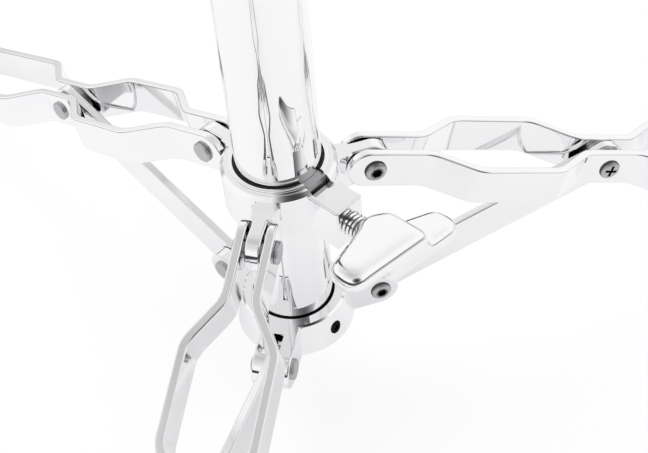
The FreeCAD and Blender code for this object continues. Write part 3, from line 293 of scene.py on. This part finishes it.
strip_chrome, shader, wire = new_finish("strip_chrome", 1.0)
along = wire.node("ShaderNodeAttribute", {"attribute_name": "along"}, take="Vector")
edge = wire.node("ShaderNodeAttribute", {"attribute_name": "edge"}, take="Fac")
rolling = wire.noise(along, (10.0, 700.0, 700.0))
cut = wire.noise(along, (500.0, 900.0, 900.0), detail=3.0)
smears = wire.noise(along, (40.0, 60.0, 60.0), detail=5.0)
feed(shader,
     Base_Color=edge.between(smears.between((0.92, 0.92, 0.935, 1.0), (0.97, 0.97, 0.97, 1.0)),
                             cut.between((0.92, 0.92, 0.92, 1.0), (0.98, 0.98, 0.98, 1.0))),
     Roughness=smears.ramp(0.4, 0.75, 0.06, 0.13) + edge * 0.1,
     Normal=bump(rolling + edge * cut, 0.10, 0.00004))
lean = math.radians(18.89)
edge_facing = 0.97


def lay_along(piece, turn, slope):
    """Notes where each corner is along, across and up the strip, and which faces are cut edges."""
    out = Vector((math.cos(turn) * math.cos(slope), math.sin(turn) * math.cos(slope), math.sin(slope)))
    across = Vector((-math.sin(turn), math.cos(turn), 0.0))
    rise = out.cross(across)
    mesh = piece.data
    places = mesh.attributes.new("along", "FLOAT_VECTOR", "POINT")
    for corner, entry in zip(mesh.vertices, places.data):
        entry.vector = (corner.co.dot(out), corner.co.dot(across), corner.co.dot(rise))
    edges = mesh.attributes.new("edge", "FLOAT", "FACE")
    for face, entry in zip(mesh.polygons, edges.data):
        entry.value = 1.0 if abs(face.normal.dot(rise)) > edge_facing else 0.0


for name, turn in turns.items():
    brace = clean("brace_" + name, strip_chrome)
    lay_along(brace, turn, lean)
    stands_for(brace, "brace_" + name)


# Leg collar
# Second die casting, free to slide on the tube: ring, three tongues for the legs and a lug for
# the clamp screw. A split nylon bush guides it, and a grey steel shoe is pressed on the tube.

stands_for(clean("leg_collar", cast_chrome), "leg_collar")
stands_for(clean("collar_bush", nylon), "collar_bush")
shoe = clean("clamp_shoe", steel)
# The shoe is painted a little darker all over, as painted shade inside the lug.
shoe_shade = 0.12
note_painted_shade(shoe, lambda face: shoe_shade)
stands_for(shoe, "clamp_shoe")
stands_for(clean("leg_pivot_barrels", steel), "leg_pivot_barrels")
stands_for(screw_heads("leg_pivot_screws", turns, shaded_middle_share), "leg_pivot_screws")


# Collar wing screw
# Chromed die-cast wing on an 8 mm stud, which presses the shoe against the tube. Tumbling has
# worn the wing round, and the root of the stud's thread is painted dark as painted shade.

def joint_line(name):
    """A point on the axis of a joint, and the direction of that axis."""
    facts = next(joint for joint in frame["joints"] if joint["name"] == name)
    return Vector(facts["pos_m"]), Vector(facts["axis"]).normalized()


even_size = 0.0004
wear_share = 0.5
wear_rounds = 220


def tumbled(name):
    """Clean copy of a cast wing, worn round and full all over by tumbling."""
    piece = clean(name, cast_chrome)
    even = piece.modifiers.new("even", "REMESH")
    even.mode = "VOXEL"
    even.voxel_size = even_size
    even.use_smooth_shade = True
    wear = piece.modifiers.new("wear", "SMOOTH")
    wear.factor = wear_share
    wear.iterations = wear_rounds
    settle(piece)
    return piece


stands_for(tumbled("collar_wing"), "collar_wing")


def thread_tree():
    """Node group: a screw thread along Z, from a spiral of square section on its corner and a core."""
    facets = 40
    tooth_corners = 4
    tooth_share = 0.5
    core_share = 0.3
    short_by = 1.1
    tree = bpy.data.node_groups.new("thread", "GeometryNodeTree")
    for name, start in [("Length", 0.02), ("Radius", 0.004), ("Pitch", 0.00125)]:
        size = tree.interface.new_socket(name, in_out="INPUT", socket_type="NodeSocketFloat")
        size.default_value = start
    tree.interface.new_socket("Finish", in_out="INPUT", socket_type="NodeSocketMaterial")
    tree.interface.new_socket("Geometry", in_out="OUTPUT", socket_type="NodeSocketGeometry")
    given = tree.nodes.new("NodeGroupInput")
    result = tree.nodes.new("NodeGroupOutput")

    def sum_of(operation, first, second):
        made = tree.nodes.new("ShaderNodeMath")
        made.operation = operation
        for slot, value in zip(made.inputs, (first, second)):
            if isinstance(value, float):
                slot.default_value = value
            else:
                tree.links.new(value, slot)
        return made.outputs[0]

    length, radius, pitch = given.outputs["Length"], given.outputs["Radius"], given.outputs["Pitch"]
    tooth = sum_of("MULTIPLY", pitch, tooth_share)
    middle = sum_of("SUBTRACT", radius, tooth)
    spiral = tree.nodes.new("GeometryNodeCurveSpiral")
    spiral.inputs["Resolution"].default_value = facets
    run = sum_of("SUBTRACT", length, sum_of("MULTIPLY", pitch, short_by))
    tree.links.new(sum_of("DIVIDE", run, pitch), spiral.inputs["Rotations"])
    tree.links.new(middle, spiral.inputs["Start Radius"])
    tree.links.new(middle, spiral.inputs["End Radius"])
    tree.links.new(run, spiral.inputs["Height"])
    upright = tree.nodes.new("GeometryNodeSetCurveNormal")
    upright.mode = "Z_UP"
    tree.links.new(spiral.outputs[0], upright.inputs["Curve"])
    profile = tree.nodes.new("GeometryNodeCurvePrimitiveCircle")
    profile.inputs["Resolution"].default_value = tooth_corners
    tree.links.new(tooth, profile.inputs["Radius"])
    sweep = tree.nodes.new("GeometryNodeCurveToMesh")
    sweep.inputs["Fill Caps"].default_value = True
    tree.links.new(upright.outputs[0], sweep.inputs["Curve"])
    tree.links.new(profile.outputs[0], sweep.inputs["Profile Curve"])
    lift = tree.nodes.new("GeometryNodeTransform")
    shift = tree.nodes.new("ShaderNodeCombineXYZ")
    tree.links.new(sum_of("MULTIPLY", pitch, short_by / 2), shift.inputs["Z"])
    tree.links.new(sweep.outputs[0], lift.inputs["Geometry"])
    tree.links.new(shift.outputs[0], lift.inputs["Translation"])
    core = tree.nodes.new("GeometryNodeMeshCylinder")
    core.inputs["Vertices"].default_value = facets
    core_radius = sum_of("ADD", middle, sum_of("MULTIPLY", tooth, core_share))
    tree.links.new(core_radius, core.inputs["Radius"])
    tree.links.new(length, core.inputs["Depth"])
    raise_core = tree.nodes.new("GeometryNodeTransform")
    half = tree.nodes.new("ShaderNodeCombineXYZ")
    tree.links.new(sum_of("MULTIPLY", length, 0.5), half.inputs["Z"])
    tree.links.new(core.outputs[0], raise_core.inputs["Geometry"])
    tree.links.new(half.outputs[0], raise_core.inputs["Translation"])
    together = tree.nodes.new("GeometryNodeJoinGeometry")
    tree.links.new(lift.outputs[0], together.inputs[0])
    tree.links.new(raise_core.outputs[0], together.inputs[0])
    real = tree.nodes.new("GeometryNodeRealizeInstances")
    tree.links.new(together.outputs[0], real.inputs[0])
    paint = tree.nodes.new("GeometryNodeSetMaterial")
    tree.links.new(real.outputs[0], paint.inputs["Geometry"])
    tree.links.new(given.outputs["Finish"], paint.inputs["Material"])
    tree.links.new(paint.outputs[0], result.inputs["Geometry"])
    return tree


thread = thread_tree()
stud_radius = 0.004
stud_pitch = 0.0015
thread_crease = 30
root_shade = 0.9
root_facing = 0.95


def threaded(name, joint, radius, pitch, finish):
    """A thread in place of a CAD stud or post, on the axis of a joint, with painted shade at its root."""
    base, axis = joint_line(joint)
    reach = [(corner.co - base).dot(axis) for corner in frame["nodes"][name].data.vertices]
    piece = bpy.data.objects.new(name + "_thread", bpy.data.meshes.new(name + "_thread"))
    bpy.context.scene.collection.objects.link(piece)
    sweep = piece.modifiers.new("thread", "NODES")
    sweep.node_group = thread
    values = {"Length": max(reach) - min(reach), "Radius": radius, "Pitch": pitch, "Finish": finish}
    for item in thread.interface.items_tree:
        if item.name in values:
            sweep[item.identifier] = values[item.name]
    settle(piece)
    upright = axis.to_track_quat("Z", "Y").to_matrix().to_4x4()
    piece.data.transform(Matrix.Translation(base + axis * min(reach)) @ upright)
    piece.data.set_sharp_from_angle(angle=math.radians(thread_crease))

    # Painted shade: the core faces at the root of the thread are painted dark.
    def shaded_root(face):
        away = face.center - base
        away -= axis * away.dot(axis)
        return root_shade if face.normal.dot(away.normalized()) > root_facing else 0.0

    note_painted_shade(piece, shaded_root)
    return piece


collar_stud = threaded("collar_stud", "collar_wing_spin", stud_radius, stud_pitch, cast_chrome)
stands_for(collar_stud, "collar_stud")


# Legs
# Two bowed and chromed strips, 14 by 3 mm, side by side for each leg. A barrel and a screw hold
# them at the elbow to the brace that runs between them, and a rubber foot is pushed on the end.

rubber, shader, wire = new_finish("rubber", 0.0)
place = wire.node("ShaderNodeTexCoord", take="Object")
speckle = wire.noise(place, (1500.0, 1500.0, 1500.0), detail=3.0)
bloom = wire.noise(place, (70.0, 70.0, 70.0), detail=4.0)
feed(shader,
     Base_Color=bloom.between((0.012, 0.012, 0.012, 1.0), (0.030, 0.030, 0.030, 1.0)),
     Roughness=bloom.ramp(0.3, 0.7, 0.62, 0.78),
     Normal=bump(speckle, 0.4, 0.00012))

for name, turn in turns.items():
    for side in ["left", "right"]:
        node = f"leg_{name}_strip_{side}"
        strip = clean(node, strip_chrome)
        lay_along(strip, turn, -lean)
        stands_for(strip, node)
    for part in ["barrel", "washers"]:
        node = f"leg_{name}_elbow_{part}"
        stands_for(clean(node, steel), node)
    node = f"leg_{name}_elbow_screw"
    stands_for(screw_heads(node, name), node)
    stands_for(clean(f"leg_{name}_foot", rubber), f"leg_{name}_foot")


# Height clamp
# Split die casting on top of the tube, closed on a nylon bush by a second wing screw to hold
# the mast at its height.

stands_for(clean("height_clamp", cast_chrome), "height_clamp")
stands_for(clean("height_bush", nylon), "height_bush")
stands_for(tumbled("height_wing"), "height_wing")
height_stud = threaded("height_stud", "height_wing_spin", stud_radius, stud_pitch, cast_chrome)
stands_for(height_stud, "height_stud")


# Mast
# Chromed tube, 22.2 mm, that slides in the base tube, with a cast ring and key screw that
# remember its height and a cast neck on top.

stands_for(clean("mast_tube", tube_chrome), "mast_tube")
for node in ["lock_ring", "tilter_neck"]:
    stands_for(clean(node, cast_chrome), node)
stands_for(clean("lock_screw", steel), "lock_screw")


# Tilter
# Cast fork on the knuckle of the neck, with nylon friction washers, a through bolt and a wing
# nut that locks the angle of the basket.

stands_for(clean("tilter_fork", cast_chrome), "tilter_fork")
stands_for(tumbled("tilt_wing"), "tilt_wing")
stands_for(clean("tilt_washers", nylon), "tilt_washers")
stands_for(clean("tilt_bolt", steel), "tilt_bolt")


# Basket
# Threaded post with a hub on top for three hooked arms. The hand nut lifts a grooved ring,
# which swings all three arms in on the drum.

post_radius = 0.006
post_pitch = 0.00175
post = threaded("basket_post", "basket_nut_turn", post_radius, post_pitch, steel)
stands_for(post, "basket_post")
for node in ["basket_hub", "basket_nut", "thrust_ring"]:
    stands_for(clean(node, cast_chrome), node)
for node in ["hub_pins", "post_nut", "nut_clip"]:
    stands_for(clean(node, steel), node)

arm_turns = {"a": math.radians(90), "b": math.radians(210), "c": math.radians(330)}
for name, turn in arm_turns.items():
    arm = clean("arm_" + name, strip_chrome)
    lay_along(arm, turn, 0.0)
    stands_for(arm, "arm_" + name)
    stands_for(clean(f"arm_{name}_grip", rubber), f"arm_{name}_grip")


# Floor, light and camera
# Plain white sweep and soft light from above, as for a catalogue picture. The room beyond the
# sweep is dark and five dark flags stand round it, which draw the dark lines in the chrome;
# only the chrome sees them. For the chrome only, the sweep also carries a painted shadow of the
# stand round its middle and a painted reflection of the dark room and flags towards its edge.

def flags(place):
    """Five dark flags that stand round the sweep, as a value from 0 to 1 by compass direction."""
    easting = place.node("ShaderNodeSeparateXYZ", feeds={0: place}, take="X")
    northing = place.node("ShaderNodeSeparateXYZ", feeds={0: place}, take="Y")
    bearing = place.maths("ARCTAN2", northing, easting)
    return place.maths("COSINE", bearing * 5.0, 0.0).ramp(-0.4, 0.6)


white = (1.0, 1.0, 1.0, 1.0)
sweep_radius = 1.1
sweep_corners = 96
sweep_level = -0.0002
stand_shadow_grey = (0.70, 0.70, 0.73, 1.0)
open_grey = (0.88, 0.88, 0.89, 1.0)
flag_grey = (0.12, 0.12, 0.13, 1.0)

sweep_paper = bpy.data.materials.new("sweep_paper")
sweep_paper.use_nodes = True
sweep_paper.node_tree.nodes.clear()
wire = Wire(sweep_paper.node_tree)
paper = wire.node("ShaderNodeBsdfDiffuse", feeds={"Color": (0.94, 0.94, 0.94, 1.0)})
camera_ray = wire.node("ShaderNodeLightPath", take="Is Camera Ray")
glossy_ray = wire.node("ShaderNodeLightPath", take="Is Glossy Ray")
place = wire.node("ShaderNodeTexCoord", take="Object")
from_stand = wire.node("ShaderNodeVectorMath", {"operation": "LENGTH"}, {0: place}, take="Value")
# Painted shadow and painted reflection, seen by glossy rays only: greyer under the stand, and darkened towards the
# edge by the room and flags.
stand_shadow = from_stand.ramp(0.04, 0.10)
shaded = stand_shadow.between(stand_shadow_grey, open_grey)
painted_room_and_flags = from_stand.ramp(0.27, 0.75) * (flags(place) * 0.8 + 0.2)
shaded = painted_room_and_flags.between(shaded, flag_grey)
glow = wire.node("ShaderNodeEmission", feeds={"Color": glossy_ray.between(white, shaded)})
glow_share = camera_ray * 0.8 + glossy_ray * 0.55
mixed = wire.node("ShaderNodeMixShader", feeds={0: glow_share, 1: paper, 2: glow})
output = sweep_paper.node_tree.nodes.new("ShaderNodeOutputMaterial")
sweep_paper.node_tree.links.new(mixed.socket, output.inputs["Surface"])

sweep_mesh = bpy.data.meshes.new("sweep")
bearings = [math.tau * i / sweep_corners for i in range(sweep_corners)]
rim = [(sweep_radius * math.cos(b), sweep_radius * math.sin(b), sweep_level) for b in bearings]
sweep_mesh.from_pydata(rim, [], [list(range(sweep_corners))])
sweep_mesh.materials.append(sweep_paper)
floor = bpy.data.objects.new("sweep", sweep_mesh)
bpy.context.scene.collection.objects.link(floor)

world = bpy.data.worlds.new("studio")
bpy.context.scene.world = world
world.use_nodes = True
world.node_tree.nodes.clear()
wire = Wire(world.node_tree)
heading = wire.node("ShaderNodeTexCoord", take="Generated")
height = wire.node("ShaderNodeSeparateXYZ", feeds={0: heading}, take="Z")
front = wire.node("ShaderNodeSeparateXYZ", feeds={0: heading}, take="Y") * -1.0
unlit_corner = (0.527, -0.628, 0.574)
unlit = (0.0, 0.0, 0.004, 1.0)
to_corner = wire.node("ShaderNodeVectorMath", {"operation": "DOT_PRODUCT"},
                      {0: heading, 1: unlit_corner}, take="Value")
room = front.ramp(0.0, 0.5) * height.ramp(0.16, 0.30, 0.96, 0.0)
skirting = height.ramp(0.05, 0.16, 0.90, 0.0) * front.ramp(-0.5, 0.0, 0.35, 1.0)
ceiling = height.ramp(0.5, 0.9) * 0.28 + height.ramp(0.9, 0.98) * 0.14
corner = to_corner.ramp(0.77, 1.0) * 0.95
low = flags(heading) * 0.55 + 0.15
walls = room.maths("MAXIMUM", room, skirting) * room.maths("MAXIMUM", low, height.ramp(-0.2, 0.0))
darkest = room.maths("MAXIMUM", walls, room.maths("MAXIMUM", ceiling, corner))
in_chrome = darkest.between(white, unlit)
camera_ray = wire.node("ShaderNodeLightPath", take="Is Camera Ray")
glossy_ray = wire.node("ShaderNodeLightPath", take="Is Glossy Ray")
fill_light = (0.75, 0.75, 0.75, 1.0)
seen = glossy_ray.between(fill_light, in_chrome)
sky = wire.node("ShaderNodeBackground", feeds={"Color": camera_ray.between(seen, white)})
output = world.node_tree.nodes.new("ShaderNodeOutputWorld")
world.node_tree.links.new(sky.socket, output.inputs["Surface"])

lit_point = Vector((0.0, 0.0, 0.2))
lamps = [("overhead_left", (-0.7, 0.7, 1.7), 1.4, 16.0),
         ("front_right", (1.1, -0.9, 1.5), 1.0, 8.0)]
for name, spot, size, power in lamps:
    lamp = bpy.data.lights.new(name, "AREA")
    lamp.shape = "SQUARE"
    lamp.size = size
    lamp.energy = power
    holder = bpy.data.objects.new(name, lamp)
    holder.location = spot
    holder.visible_glossy = False
    holder.rotation_euler = (lit_point - Vector(spot)).to_track_quat("-Z", "Y").to_euler()
    bpy.context.scene.collection.objects.link(holder)

camera_spot = Vector((0.09262, -0.27116, 0.38098))
turn = math.radians(16.275)
pitch = math.radians(46.514)
roll = math.radians(-5.025)
level = math.cos(pitch)
ahead = Vector((-math.sin(turn) * level, math.cos(turn) * level, -math.sin(pitch)))
right = ahead.cross(Vector((0.0, 0.0, 1.0))).normalized()
up = right.cross(ahead)
level_right = right * math.cos(roll) + up * math.sin(roll)
level_up = up * math.cos(roll) - right * math.sin(roll)
lens = bpy.data.cameras.new("camera")
lens.sensor_width = 36.0
lens.lens = 66.69
lens.clip_start = 0.01
camera = bpy.data.objects.new("camera", lens)
bpy.context.scene.collection.objects.link(camera)
stance = Matrix((level_right, level_up, -ahead)).transposed().to_4x4()
stance.translation = camera_spot
camera.matrix_world = stance
bpy.context.scene.camera = camera
bpy.context.scene.view_settings.view_transform = "Standard"
